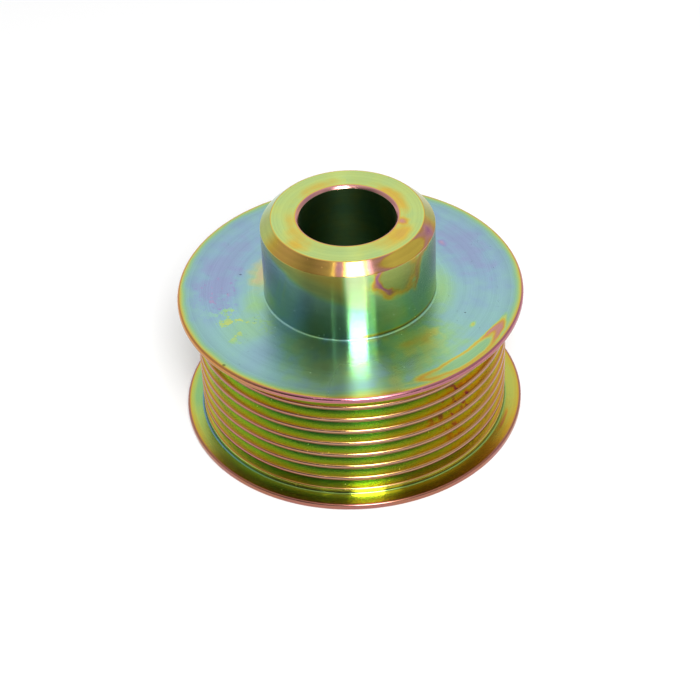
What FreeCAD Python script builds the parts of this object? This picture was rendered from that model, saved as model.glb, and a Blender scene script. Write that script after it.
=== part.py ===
import FreeCAD, Part
import Sketcher
import math
import os

# A ribbed-belt pulley turned from one piece of steel. The origin is the middle of the
# underside, +Z runs up the shaft's axis, and lengths are millimetres.
# Below is the belt section: two thin flanges with V grooves between them.
# Above it stands the hub, which spaces the belt section from the machine it drives.

document = FreeCAD.newDocument("belt_pulley")
sheet = document.addObject("Spreadsheet::Sheet", "dimensions")

DIMENSIONS = [
    # V grooves, of the common pattern for ribbed belts of 3.56 mm pitch
    ("groove_count", 8),
    ("groove_pitch", 3.56),
    ("groove_angle", 40),
    ("groove_root_width", 0.6),
    ("rib_diameter", 72.6),
    ("rib_land", 1.0),
    ("rib_edge_break", 0.2),
    # flanges that keep the belt on, standing out past the ribs
    ("flange_height", 4.0),
    ("lower_flange_thickness", 1.4),
    ("lower_shoulder", 1.25),
    ("upper_shoulder", 0.6),
    ("upper_flange_root", 2.67),
    ("upper_flange_rim", 1.4),
    ("rim_bevel", 0.3),
    # hub
    ("hub_diameter", 40),
    ("hub_height", 20.4),
    ("hub_bevel", 2.4),
    # shaft bore and the recess for the shaft's nut
    ("bore_diameter", 22.2),
    ("bore_bevel", 0.6),
    ("recess_diameter", 52),
    ("recess_depth", 16),
    ("recess_mouth_bevel", 1.0),
]

for row, (alias, number) in enumerate(DIMENSIONS, 1):
    sheet.set(f"A{row}", alias)
    sheet.set(f"B{row}", str(number))
    sheet.setAlias(f"B{row}", alias)
document.recompute()

# Places that follow from the driving dimensions, as expressions on the sheet.
RIB_RADIUS = "dimensions.rib_diameter / 2"
FLANGE_RADIUS = f"({RIB_RADIUS} + dimensions.flange_height)"
HUB_RADIUS = "dimensions.hub_diameter / 2"
BORE_RADIUS = "dimensions.bore_diameter / 2"
RECESS_RADIUS = "dimensions.recess_diameter / 2"
GROOVE_WIDTH = "(dimensions.groove_pitch - dimensions.rib_land)"
LOWER_FLANGE_FACE = "dimensions.lower_flange_thickness"
FIRST_GROOVE_LOW = f"({LOWER_FLANGE_FACE} + dimensions.lower_shoulder)"
FIRST_GROOVE_HIGH = f"({FIRST_GROOVE_LOW} + {GROOVE_WIDTH})"
GROOVE_SPAN = "((dimensions.groove_count - 1) * dimensions.groove_pitch)"
LAST_GROOVE_HIGH = f"({FIRST_GROOVE_HIGH} + {GROOVE_SPAN})"
UPPER_FLANGE_LOW = f"({LAST_GROOVE_HIGH} + dimensions.upper_shoulder)"
UPPER_FLANGE_FACE = f"({UPPER_FLANGE_LOW} + dimensions.upper_flange_root)"
UPPER_RIM_LOW = f"({UPPER_FLANGE_FACE} - dimensions.upper_flange_rim)"
HUB_FACE = f"({UPPER_FLANGE_FACE} + dimensions.hub_height)"

MATCH = 1e-4  # how near an edge must be to the place it is looked for
LEAST_SHARE = 0.5  # a cut that lies in the metal takes at least this share of its own volume


def value(expression):
    """The number that an expression on the sheet gives."""
    return float(sheet.evalExpression(expression))


def new_sketch(body, name, plane):
    """An empty sketch on one of the body's own origin planes."""
    sketch = body.newObject("Sketcher::SketchObject", name)
    planes = [item for item in body.Origin.OriginFeatures if item.Role == plane]
    sketch.AttachmentSupport = [(planes[0], "")]
    sketch.MapMode = "FlatFace"
    return sketch


def bind(sketch, kind, references, expression, name):
    """A dimension in a sketch, named and tied to the sheet."""
    index = sketch.addConstraint(Sketcher.Constraint(kind, *references, value(expression)))
    sketch.renameConstraint(index, name)
    sketch.setExpression(f"Constraints.{name}", expression)


def pin_point(sketch, line, end, name, radius, height):
    """Ties one end of a line to its radius and its height. Zero lies on the axis itself."""
    if radius == "0":
        sketch.addConstraint(Sketcher.Constraint("PointOnObject", line, end, -2))
    else:
        bind(sketch, "DistanceX", (-1, 1, line, end), radius, f"{name}_radius")
    if height == "0":
        sketch.addConstraint(Sketcher.Constraint("PointOnObject", line, end, -1))
    else:
        bind(sketch, "DistanceY", (-1, 1, line, end), height, f"{name}_height")


def closed_outline(sketch, points):
    """Lines from point to point and back to the first, joined end to end."""
    for start, end in zip(points, points[1:] + points[:1]):
        sketch.addGeometry(Part.LineSegment(start, end))
    for line in range(len(points)):
        following = (line + 1) % len(points)
        sketch.addConstraint(Sketcher.Constraint("Coincident", line, 2, following, 1))


def spot(radius, height):
    """A point of a sketch at a radius and a height."""
    return FreeCAD.Vector(radius, height, 0)


def turned_blank(body):
    """The pulley before grooves and holes: half its section, turned about the axis."""
    outline = new_sketch(body, "blank_outline", "XZ_Plane")
    corners = [
        ("centre_low", "0", "0"),
        ("lower_rim_low", FLANGE_RADIUS, "0"),
        ("lower_rim_high", FLANGE_RADIUS, LOWER_FLANGE_FACE),
        ("shoulder_foot", RIB_RADIUS, LOWER_FLANGE_FACE),
        ("upper_shoulder_top", RIB_RADIUS, UPPER_FLANGE_LOW),
        ("upper_rim_low", FLANGE_RADIUS, UPPER_RIM_LOW),
        ("upper_rim_high", FLANGE_RADIUS, UPPER_FLANGE_FACE),
        ("hub_foot", HUB_RADIUS, UPPER_FLANGE_FACE),
        ("hub_edge", HUB_RADIUS, HUB_FACE),
        ("centre_high", "0", HUB_FACE),
    ]
    closed_outline(outline, [spot(value(radius), value(height)) for _, radius, height in corners])
    for line, (name, radius, height) in enumerate(corners):
        pin_point(outline, line, 1, name, radius, height)
    blank = body.newObject("PartDesign::Revolution", "turned_blank")
    blank.Profile = outline
    blank.ReferenceAxis = (outline, ["V_Axis"])
    blank.Angle = 360
    document.recompute()
    return blank


def groove_profile(body):
    """The section that one V groove takes out of the blank, with both rib edges broken."""
    profile = new_sketch(body, "groove_profile", "XZ_Plane")
    mouth = value(RIB_RADIUS)
    low = value(FIRST_GROOVE_LOW)
    high = value(FIRST_GROOVE_HIGH)
    flank = math.radians(value("dimensions.groove_angle") / 2)
    edge_break = value("dimensions.rib_edge_break")
    half_root = value("dimensions.groove_root_width") / 2
    middle = (low + high) / 2
    root_radius = mouth - ((high - low) / 2 - half_root) / math.tan(flank)
    flank_top = mouth - edge_break * math.cos(flank)
    flank_inset = edge_break * math.sin(flank)
    closed_outline(profile, [
        spot(mouth, low - edge_break),
        spot(mouth, high + edge_break),
        spot(flank_top, high - flank_inset),
        spot(root_radius, middle + half_root),
        spot(root_radius, middle - half_root),
        spot(flank_top, low + flank_inset),
    ])
    opening, upper_break, upper_flank, root, lower_flank, lower_break = range(6)

    # the sharp corners, where flank and rib would meet, are where a groove's width is measured
    sides = [
        ("low", FIRST_GROOVE_LOW, lower_flank, lower_break),
        ("high", FIRST_GROOVE_HIGH, upper_flank, upper_break),
    ]
    for name, height, flank_line, break_line in sides:
        corner = profile.addGeometry(Part.Point(spot(mouth, value(height))), True)
        profile.addConstraint(Sketcher.Constraint("PointOnObject", corner, 1, opening))
        profile.addConstraint(Sketcher.Constraint("PointOnObject", corner, 1, flank_line))
        pin_point(profile, corner, 1, f"corner_{name}", RIB_RADIUS, height)
        for end in (1, 2):
            reach = (corner, 1, break_line, end)
            bind(profile, "Distance", reach, "dimensions.rib_edge_break", f"break_{name}_{end}")
    profile.addConstraint(Sketcher.Constraint("Vertical", root))
    profile.addConstraint(Sketcher.Constraint("Equal", upper_flank, lower_flank))
    bind(profile, "Distance", (root,), "dimensions.groove_root_width", "root_width")
    flank_angle = Sketcher.Constraint("Angle", lower_flank, 1, upper_flank, 2, 2 * flank)
    index = profile.addConstraint(flank_angle)
    profile.renameConstraint(index, "groove_angle")
    profile.setExpression("Constraints.groove_angle", "dimensions.groove_angle * 1 deg")
    return profile


def belt_grooves(body):
    """One V groove, cut all round, and its copies up the belt section."""
    profile = groove_profile(body)
    groove = body.newObject("PartDesign::Groove", "first_groove")
    groove.Profile = profile
    groove.ReferenceAxis = (profile, ["V_Axis"])
    groove.Angle = 360
    document.recompute()
    copies = body.newObject("PartDesign::LinearPattern", "belt_grooves")
    copies.Originals = [groove]
    copies.Direction = (profile, ["V_Axis"])
    copies.Mode = "Spacing"
    copies.setExpression("Offset", "dimensions.groove_pitch")
    copies.setExpression("Occurrences", "dimensions.groove_count")
    body.Tip = copies
    document.recompute()
    return copies


def round_pocket(body, name, diameter, depth):
    """A round hole up from the underside, to a depth or, with no depth, right through."""
    circle = new_sketch(body, f"{name}_circle", "XY_Plane")
    middle = FreeCAD.Vector(0, 0, 0)
    circle.addGeometry(Part.Circle(middle, FreeCAD.Vector(0, 0, 1), value(diameter) / 2))
    circle.addConstraint(Sketcher.Constraint("Coincident", 0, 3, -1, 1))
    bind(circle, "Diameter", (0,), diameter, "diameter")
    pocket = body.newObject("PartDesign::Pocket", name)
    pocket.Profile = circle
    pocket.Reversed = True
    if depth:
        pocket.setExpression("Length", depth)
    else:
        pocket.Type = "ThroughAll"
    document.recompute()
    return pocket


def check_cut(before, feature, full_cut):
    """A cut that points away from the metal removes nothing, so its volume is compared."""
    removed = before - feature.Shape.Volume
    print(f"{feature.Name}: {removed:.0f} of up to {full_cut:.0f} cubic mm cut")
    if removed < LEAST_SHARE * full_cut:
        raise RuntimeError(f"{feature.Name} cut too little")
    return feature.Shape.Volume


def bevel(body, name, rings, alias):
    """Bevels the round edges that lie on the given (radius, height) rings of the solid."""
    base = body.Tip
    edges = []
    for number, edge in enumerate(base.Shape.Edges, 1):
        if not isinstance(edge.Curve, Part.Circle):
            continue
        for radius, height in rings:
            on_radius = abs(edge.Curve.Radius - radius) < MATCH
            if on_radius and abs(edge.Curve.Center.z - height) < MATCH:
                edges.append(f"Edge{number}")
    if len(edges) < len(rings):
        raise RuntimeError(f"{base.Name} has {len(edges)} of {len(rings)} rings for {name}")
    feature = body.newObject("PartDesign::Chamfer", name)
    feature.Base = (base, edges)
    feature.setExpression("Size", f"dimensions.{alias}")
    document.recompute()
    body.Tip = feature


def bevel_edges(body):
    """The bevels, from the fine rims to the hub's wide one."""
    flange_radius = value(FLANGE_RADIUS)
    bore_radius = value(BORE_RADIUS)
    hub_face = value(HUB_FACE)
    rims = [
        (flange_radius, value(LOWER_FLANGE_FACE)),
        (flange_radius, value(UPPER_FLANGE_FACE)),
    ]
    bore_ends = [(bore_radius, value("dimensions.recess_depth")), (bore_radius, hub_face)]
    bevel(body, "rim_bevels", rims, "rim_bevel")
    bevel(body, "hub_bevel", [(value(HUB_RADIUS), hub_face)], "hub_bevel")
    bevel(body, "bore_bevels", bore_ends, "bore_bevel")
    bevel(body, "recess_mouth_bevel", [(value(RECESS_RADIUS), 0)], "recess_mouth_bevel")


def build_pulley():
    """Blank, grooves, bore, recess and bevels, in the order that a lathe would cut them."""
    body = document.addObject("PartDesign::Body", "pulley")
    body.Label = "pulley"
    volume = turned_blank(body).Shape.Volume

    grooves = belt_grooves(body)
    flank = math.radians(value("dimensions.groove_angle") / 2)
    sharp_section = value(GROOVE_WIDTH) ** 2 / 4 / math.tan(flank)
    sharp_groove = sharp_section * 2 * math.pi * value(RIB_RADIUS)
    volume = check_cut(volume, grooves, value("dimensions.groove_count") * sharp_groove)

    bore = round_pocket(body, "shaft_bore", "dimensions.bore_diameter", None)
    bore_section = math.pi * value(BORE_RADIUS) ** 2
    volume = check_cut(volume, bore, bore_section * value(HUB_FACE))

    depth = "dimensions.recess_depth"
    recess = round_pocket(body, "nut_recess", "dimensions.recess_diameter", depth)
    ring_section = math.pi * value(RECESS_RADIUS) ** 2 - bore_section
    check_cut(volume, recess, ring_section * value(depth))

    bevel_edges(body)
    return body


def check_document(body):
    """Stops before anything is written if a feature failed or the solid is not sound."""
    for item in document.Objects:
        if "Invalid" in item.State or "Error" in item.State:
            raise RuntimeError(f"{item.Name} did not build: {item.State}")
    shape = body.Shape
    if shape.isNull() or not shape.isValid() or len(shape.Solids) != 1:
        raise RuntimeError(f"{body.Label} is not one sound solid")
    box = shape.optimalBoundingBox(False)
    print(f"{body.Label}: {box.XLength:.2f} x {box.YLength:.2f} x {box.ZLength:.2f} mm,"
          f" {shape.Volume / 1000:.1f} cubic cm, {len(shape.Faces)} faces")


pulley = build_pulley()
document.recompute()
check_document(pulley)
os.makedirs("parts", exist_ok=True)
pulley.Shape.exportStep(f"parts/{pulley.Label}.step")
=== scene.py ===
# %% [markdown]
# A belt pulley in plated steel
#
# The real thing is one solid piece, turned on a lathe and then dipped in a yellow chromate bath.
# The turning gives it crisp rings, and the bath leaves a film so thin that light interferes in it:
# the same steel looks teal, green, gold or pink, depending only on how thick the film is.
# So this lesson has two halves: turn one mesh the way the lathe turns the metal, then paint one
# film whose thickness changes from place to place.
#
# The engineering model comes first. It fixes every size, so the mesh below only adds finish to it.

# %% load the engineering model
import math
import bpy
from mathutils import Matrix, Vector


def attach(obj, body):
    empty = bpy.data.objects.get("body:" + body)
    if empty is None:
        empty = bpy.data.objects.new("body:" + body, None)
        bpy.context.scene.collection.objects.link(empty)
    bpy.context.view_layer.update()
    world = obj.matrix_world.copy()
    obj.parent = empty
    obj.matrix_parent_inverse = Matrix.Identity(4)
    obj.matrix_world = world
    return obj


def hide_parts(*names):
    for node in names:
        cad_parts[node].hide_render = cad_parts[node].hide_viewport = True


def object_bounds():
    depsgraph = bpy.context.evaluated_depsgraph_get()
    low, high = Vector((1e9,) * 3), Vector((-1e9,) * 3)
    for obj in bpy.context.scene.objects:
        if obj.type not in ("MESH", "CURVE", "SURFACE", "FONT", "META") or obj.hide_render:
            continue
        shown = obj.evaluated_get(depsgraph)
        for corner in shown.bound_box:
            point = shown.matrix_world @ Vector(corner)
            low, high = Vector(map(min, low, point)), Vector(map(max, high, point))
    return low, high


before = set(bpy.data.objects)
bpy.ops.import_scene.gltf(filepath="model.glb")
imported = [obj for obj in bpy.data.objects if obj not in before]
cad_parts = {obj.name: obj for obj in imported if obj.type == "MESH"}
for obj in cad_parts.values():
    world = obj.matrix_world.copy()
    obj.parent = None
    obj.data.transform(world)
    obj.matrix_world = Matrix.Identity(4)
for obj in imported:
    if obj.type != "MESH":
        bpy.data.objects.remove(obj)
cad_low, cad_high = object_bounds()
print("engineering model:", list(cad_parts), "from", tuple(cad_low), "to", tuple(cad_high))

# %% [markdown]
# Sizes
#
# A lathe part is known by its half-section: how far each corner is from the axis, and how high.
# All the sizes are written in millimetres and turned into metres in one place. The two that the
# engineering model can tell us, its widest radius and its height, are read from it.

# %% sizes, in millimetres
MM = 0.001
RIM_RADIUS = cad_high.x / MM
TOTAL_HEIGHT = cad_high.z / MM

FLANGE_REACH = 4.0                      # how far a flange stands out past the ribs
RIB_RADIUS = RIM_RADIUS - FLANGE_REACH
GROOVE_COUNT = 8
GROOVE_PITCH = 3.56
RIB_LAND = 1.0                          # flat between two grooves, before its edges are rounded
GROOVE_WIDTH = GROOVE_PITCH - RIB_LAND
GROOVE_HALF_ANGLE = math.radians(20)
ROOT_HALF_WIDTH = 0.3
ROOT_RADIUS = RIB_RADIUS - (GROOVE_WIDTH / 2 - ROOT_HALF_WIDTH) / math.tan(GROOVE_HALF_ANGLE)

RIM_THICKNESS = 1.4
LOWER_FACE = RIM_THICKNESS              # top of the lower flange
FLAT_BELOW_GROOVES = 1.25
FLAT_ABOVE_GROOVES = 0.6
FLANGE_THICKNESS = 2.67                 # of the upper one at its foot, and thinner at its rim
FIRST_GROOVE = LOWER_FACE + FLAT_BELOW_GROOVES
LAST_GROOVE_END = FIRST_GROOVE + (GROOVE_COUNT - 1) * GROOVE_PITCH + GROOVE_WIDTH
UPPER_FLANGE_LOW = LAST_GROOVE_END + FLAT_ABOVE_GROOVES
UPPER_FACE = UPPER_FLANGE_LOW + FLANGE_THICKNESS        # top of the upper flange
UPPER_RIM_LOW = UPPER_FACE - RIM_THICKNESS

HUB_RADIUS = 20.0
HUB_BEVEL = 2.4
BORE_RADIUS = 11.1
BORE_BEVEL = 0.6
RECESS_RADIUS = 26.0
RECESS_DEPTH = 16.0
MOUTH_BEVEL = 1.0
print(f"rim {RIM_RADIUS:.2f}, ribs {RIB_RADIUS:.2f}, roots {ROOT_RADIUS:.2f}, height {TOTAL_HEIGHT:.2f}")

# %% [markdown]
# Drawing the half-section
#
# A point is the smallest thing that can be extruded. We start from a plane, merge its four corners
# into one point, and push that point from corner to corner round the section, as a turner walks the
# tool along the drawing. The eight grooves all have the same shape, so a loop draws them.

# %% the corners of the half-section
def groove_corners(number):
    """Radius and height of the four corners of one V groove, from below."""
    low = FIRST_GROOVE + number * GROOVE_PITCH
    middle = low + GROOVE_WIDTH / 2
    return [
        (RIB_RADIUS, low),
        (ROOT_RADIUS, middle - ROOT_HALF_WIDTH),
        (ROOT_RADIUS, middle + ROOT_HALF_WIDTH),
        (RIB_RADIUS, low + GROOVE_WIDTH),
    ]

belt_side = [(RIM_RADIUS, 0), (RIM_RADIUS, LOWER_FACE), (RIB_RADIUS, LOWER_FACE)]
for number in range(GROOVE_COUNT):
    belt_side += groove_corners(number)
belt_side += [(RIB_RADIUS, UPPER_FLANGE_LOW), (RIM_RADIUS, UPPER_RIM_LOW), (RIM_RADIUS, UPPER_FACE)]
hub_side = [
    (HUB_RADIUS, UPPER_FACE),
    (HUB_RADIUS, TOTAL_HEIGHT - HUB_BEVEL),
    (HUB_RADIUS - HUB_BEVEL, TOTAL_HEIGHT),
    (BORE_RADIUS + BORE_BEVEL, TOTAL_HEIGHT),
]
inside = [
    (BORE_RADIUS, TOTAL_HEIGHT - BORE_BEVEL),
    (BORE_RADIUS, RECESS_DEPTH + BORE_BEVEL),
    (BORE_RADIUS + BORE_BEVEL, RECESS_DEPTH),
    (RECESS_RADIUS, RECESS_DEPTH),
    (RECESS_RADIUS, MOUTH_BEVEL),
    (RECESS_RADIUS + MOUTH_BEVEL, 0),
]
section = belt_side + hub_side + inside
print(len(section), "corners")

# %% push a point round the section
def only(piece):
    """Deselects everything else and makes the piece active."""
    bpy.ops.object.select_all(action="DESELECT")
    piece.select_set(True)
    bpy.context.view_layer.objects.active = piece

def in_metres(corner):
    """A corner of the section as a place in the XZ plane, in metres."""
    radius, height = corner
    return (radius * MM, 0.0, height * MM)

bpy.ops.object.select_all(action="DESELECT")
bpy.ops.mesh.primitive_plane_add(size=MM)
pulley = bpy.context.object
pulley.name = "turned_pulley"
bpy.ops.object.mode_set(mode="EDIT")
bpy.ops.mesh.merge(type="CENTER")
bpy.ops.transform.translate(value=in_metres(section[0]))
for start, end in zip(section, section[1:] + section[:1]):
    step = [b - a for a, b in zip(in_metres(start), in_metres(end))]
    bpy.ops.mesh.extrude_region_move(TRANSFORM_OT_translate={"value": step})
bpy.ops.mesh.select_all(action="SELECT")
bpy.ops.mesh.remove_doubles(threshold=0.001 * MM)
bpy.ops.object.mode_set(mode="OBJECT")
print("half-section:", len(pulley.data.vertices), "points")

# %% [markdown]
# Rounding the corners
#
# No turned corner is perfectly sharp, and on shiny metal it is the tiny rounding that catches the
# light: the pink lines round this pulley are nothing but rounded rib edges. The bevel tool rounds
# a point of a line when it is told to work on vertices. Its offset is how far from the corner the
# rounding starts, so for a corner that turns by an angle it is the radius times the tangent of
# half that angle.

# %% a tool that rounds corners
NEAR = 0.01                             # how near, in mm, a point must be to a named corner

def round_corners(corners, setback, segments):
    """Rounds the section's points that lie on the given corners."""
    only(pulley)
    bpy.ops.object.mode_set(mode="EDIT")
    bpy.ops.mesh.select_mode(type="VERT")
    bpy.ops.mesh.select_all(action="DESELECT")
    bpy.ops.object.mode_set(mode="OBJECT")
    for point in pulley.data.vertices:
        place = (point.co.x / MM, point.co.z / MM)
        point.select = any(math.dist(place, corner) < NEAR for corner in corners)
    bpy.ops.object.mode_set(mode="EDIT")
    bpy.ops.mesh.bevel(offset=setback * MM, offset_type="OFFSET", segments=segments,
                       affect="VERTICES", clamp_overlap=False)
    bpy.ops.object.mode_set(mode="OBJECT")

print("corners are rounded within", NEAR, "mm of their place")

# %% round the corners
RIB_ROUND = 0.5                         # radius of a rib's edge, in mm
UPPER_RIM_ROUND = 0.8
FOOT_ROUND = 0.4                        # where a flange meets the ribs or the hub
grooves = [groove_corners(number) for number in range(GROOVE_COUNT)]
rib_edges = [corner for groove in grooves for corner in (groove[0], groove[3])]
root_edges = [corner for groove in grooves for corner in (groove[1], groove[2])]
rib_setback = RIB_ROUND * math.tan((math.pi / 2 - GROOVE_HALF_ANGLE) / 2)
ROUNDINGS = [                           # corners, setback in mm, segments
    (rib_edges, rib_setback, 6),
    (root_edges, 0.2, 3),
    ([(RIM_RADIUS, UPPER_FACE)], UPPER_RIM_ROUND, 8),
    ([(RIM_RADIUS, LOWER_FACE)], 0.5, 6),
    ([(RIM_RADIUS, 0), (RIM_RADIUS, UPPER_RIM_LOW)], 0.25, 3),
    ([(RIB_RADIUS, LOWER_FACE), (HUB_RADIUS, UPPER_FACE)], FOOT_ROUND, 5),
    ([(RIB_RADIUS, UPPER_FLANGE_LOW)], 0.15, 3),
    ([hub_side[1], hub_side[2]], 0.1, 3),
    ([hub_side[3], inside[0]], 0.12, 3),
    ([(RECESS_RADIUS, RECESS_DEPTH)], 1.5, 6),
]
for corners, setback, segments in ROUNDINGS:
    round_corners(corners, setback, segments)
print("rounded section:", len(pulley.data.vertices), "points")

# %% [markdown]
# Turning
#
# Spin sweeps the section round the axis, as the lathe does. The last copy lands on the first, so
# the doubles are merged, and the normals are made to point outwards.
#
# Smooth shading alone would bend the light on the broad flat faces, because their corners share
# normals with the small roundings. A Weighted Normal modifier lets the biggest face decide, so the
# flats stay flat and the roundings stay round.

# %% spin the section and set its normals
TURN_STEPS = 360
SHARP_ANGLE = 32                        # degrees, past which an edge stays sharp
only(pulley)
bpy.ops.object.mode_set(mode="EDIT")
bpy.ops.mesh.select_all(action="SELECT")
bpy.ops.mesh.spin(steps=TURN_STEPS, angle=math.tau, center=(0, 0, 0), axis=(0, 0, 1))
bpy.ops.mesh.select_all(action="SELECT")
bpy.ops.mesh.remove_doubles(threshold=0.001 * MM)
bpy.ops.mesh.normals_make_consistent(inside=False)
bpy.ops.object.mode_set(mode="OBJECT")
bpy.ops.object.shade_smooth_by_angle(angle=math.radians(SHARP_ANGLE))
weighted = pulley.modifiers.new("flat_faces_stay_flat", "WEIGHTED_NORMAL")
weighted.keep_sharp = True
weighted.weight = 100                   # the biggest face decides
bpy.ops.object.modifier_apply(modifier=weighted.name)
print("turned pulley:", len(pulley.data.vertices), "vertices,", len(pulley.data.polygons), "faces")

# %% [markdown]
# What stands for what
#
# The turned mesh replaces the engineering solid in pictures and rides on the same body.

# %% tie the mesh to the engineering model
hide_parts("pulley")
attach(pulley, "root")
print("pulley rides on root")

# %% [markdown]
# Small helpers for materials
#
# Colours are given as the eye sees them, from 0 to 255, and Blender wants them linear, so one
# function converts. The others save typing: they add a node, fill its inputs with numbers or with
# other nodes' outputs, and hand back what it puts out. Almost every mark on the pulley comes from
# two of them: "remap" says where a mark is, and "toward" draws a value there.

# %% helpers for colours and sums
def paint(red, green, blue):
    """A colour as seen, 0 to 255, as the linear colour that a shader takes."""
    def linear(part):
        part = part / 255
        return part / 12.92 if part < 0.04045 else ((part + 0.055) / 1.055) ** 2.4
    return (linear(red), linear(green), linear(blue), 1.0)

def put(tree, socket, value):
    """Sets a socket to a number, or links another socket to it."""
    if isinstance(value, bpy.types.NodeSocket):
        tree.links.new(value, socket)
    else:
        socket.default_value = value

def calc(tree, operation, *values):
    """A Math node, as one expression."""
    node = tree.nodes.new("ShaderNodeMath")
    node.operation = operation
    for socket, value in zip(node.inputs, values):
        put(tree, socket, value)
    return node.outputs[0]

def vector_calc(tree, operation, *values):
    """A Vector Math node, as one expression."""
    node = tree.nodes.new("ShaderNodeVectorMath")
    node.operation = operation
    for socket, value in zip(node.inputs, values):
        put(tree, socket, value)
    return node.outputs["Value" if operation == "LENGTH" else "Vector"]

def product(tree, first, *others):
    """Several values multiplied together."""
    for value in others:
        first = calc(tree, "MULTIPLY", first, value)
    return first

print("white is", paint(255, 255, 255))

# %% helpers for masks
def remap(tree, value, low, high, to_low=0.0, to_high=1.0, smooth=True):
    """Carries a value from one range to another, levelling off at both ends."""
    node = tree.nodes.new("ShaderNodeMapRange")
    node.interpolation_type = "SMOOTHSTEP" if smooth else "LINEAR"
    for name, number in (("Value", value), ("From Min", low), ("From Max", high),
                         ("To Min", to_low), ("To Max", to_high)):
        put(tree, node.inputs[name], number)
    return node.outputs["Result"]

def between(tree, value, rise, top, fall, end):
    """A mask that rises from rise to top, stays at 1, and falls from fall to end."""
    return product(tree, remap(tree, value, rise, top), remap(tree, value, end, fall))

def toward(tree, value, mask, goal):
    """Draws a value towards a goal, as far as the mask says."""
    node = tree.nodes.new("ShaderNodeMix")
    put(tree, node.inputs["Factor"], mask)
    put(tree, node.inputs["A"], value)
    put(tree, node.inputs["B"], goal)
    return node.outputs["Result"]

print("masks run from 0 to 1")

# %% [markdown]
# Node groups
#
# A group is a small tree of nodes with its own inputs and outputs. It is built once and then
# placed in every material that needs it, each time with its own numbers. The groups below put out
# only colours and numbers: the shader itself stays in the material.

# %% helpers for groups
def new_group(name, inputs, outputs):
    """A shader node group. Inputs are (name, kind, default), outputs are (name, kind)."""
    tree = bpy.data.node_groups.new(name, "ShaderNodeTree")
    for label, kind, default in inputs:
        socket = tree.interface.new_socket(label, in_out="INPUT", socket_type="NodeSocket" + kind)
        socket.default_value = default
    for label, kind in outputs:
        tree.interface.new_socket(label, in_out="OUTPUT", socket_type="NodeSocket" + kind)
    given = tree.nodes.new("NodeGroupInput")
    result = tree.nodes.new("NodeGroupOutput")
    return tree, given.outputs, result.inputs

def use(tree, group, **values):
    """Places a node group and fills its inputs. Underscores stand for spaces."""
    node = tree.nodes.new("ShaderNodeGroup")
    node.node_tree = group
    for label, value in values.items():
        put(tree, node.inputs[label.replace("_", " ")], value)
    return node.outputs

print("groups can be built and placed")

# %% [markdown]
# Where on the pulley
#
# Everything on a turned part depends on the distance from the axis, the height and the angle
# round it. This group works them out from the object's own coordinates, in millimetres and in
# degrees, with 0 at the front and 90 at the right. One more value, "along", keeps changing as one
# walks along the section, over flats, walls and bevels alike.
#
# The angle jumps from 180 to -180 at the back, and a film that follows the angle would show a seam
# there. So the group also puts out "back", a mask that is 1 on both sides of the jump, and each
# material leads its film to one value under that mask.

# %% group: place on the pulley
ALONG_SLOPE = 1.7                       # how much the height counts in "along"
BACK_STARTS = 125                       # degrees from the front
BACK_IS_FULL = 165

def make_place_group():
    tree, _, result = new_group("place_on_pulley", [], [
        ("Position", "Vector"), ("Radius", "Float"), ("Height", "Float"), ("Along", "Float"),
        ("Angle", "Float"), ("Back", "Float")])
    coordinate = tree.nodes.new("ShaderNodeTexCoord")
    scale = tree.nodes.new("ShaderNodeVectorMath")
    scale.operation = "SCALE"
    scale.inputs["Scale"].default_value = 1 / MM
    tree.links.new(coordinate.outputs["Object"], scale.inputs[0])
    split = tree.nodes.new("ShaderNodeSeparateXYZ")
    tree.links.new(scale.outputs[0], split.inputs[0])
    x, y, height = split.outputs
    squares = calc(tree, "ADD", calc(tree, "POWER", x, 2.0), calc(tree, "POWER", y, 2.0))
    radius = calc(tree, "SQRT", squares)
    angle = calc(tree, "DEGREES", calc(tree, "ARCTAN2", x, calc(tree, "MULTIPLY", y, -1.0)))
    from_front = calc(tree, "ABSOLUTE", angle)
    put(tree, result["Position"], scale.outputs[0])
    put(tree, result["Radius"], radius)
    put(tree, result["Height"], height)
    put(tree, result["Along"], calc(tree, "MULTIPLY_ADD", height, ALONG_SLOPE, radius))
    put(tree, result["Angle"], angle)
    put(tree, result["Back"], remap(tree, from_front, BACK_STARTS, BACK_IS_FULL))
    return tree

def by_angle(tree, place, value, steps):
    """Draws a value to each step's goal. A step is where it starts, where it is done, the goal."""
    for start, end, goal in steps:
        value = toward(tree, value, remap(tree, place["Angle"], start, end), goal)
    return value

PLACE = make_place_group()
print("group", PLACE.name)

# %% [markdown]
# The film's colours
#
# In thin films the colours follow one another in a fixed order as the film grows: tan, lilac,
# violet, blue, teal, green, yellow-green, gold, copper, pink, magenta, and then the round begins
# again. A colour ramp holds that order, on a thickness that runs from 0 to 1. Every surface of the
# pulley only says how thick its film is, and wherever the film thickens, the colours in between
# appear by themselves as contour lines.

# %% group: film colour
TAN = 0.00
LILAC = 0.08
VIOLET = 0.16
BLUE = 0.24
TEAL = 0.34
GREEN = 0.46
YELLOW_GREEN = 0.57
GOLD = 0.68
COPPER = 0.77
PINK = 0.86
MAGENTA = 0.94
SECOND_VIOLET = 1.00
FILM_ORDER = [
    (TAN, paint(216, 196, 164)),
    (LILAC, paint(186, 160, 188)),
    (VIOLET, paint(154, 160, 202)),
    (BLUE, paint(148, 182, 204)),
    (TEAL, paint(152, 198, 195)),
    (GREEN, paint(160, 208, 152)),
    (YELLOW_GREEN, paint(198, 214, 122)),
    (GOLD, paint(222, 190, 78)),
    (COPPER, paint(214, 160, 96)),
    (PINK, paint(208, 148, 142)),
    (MAGENTA, paint(182, 116, 156)),
    (SECOND_VIOLET, paint(138, 116, 168)),
]

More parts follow.
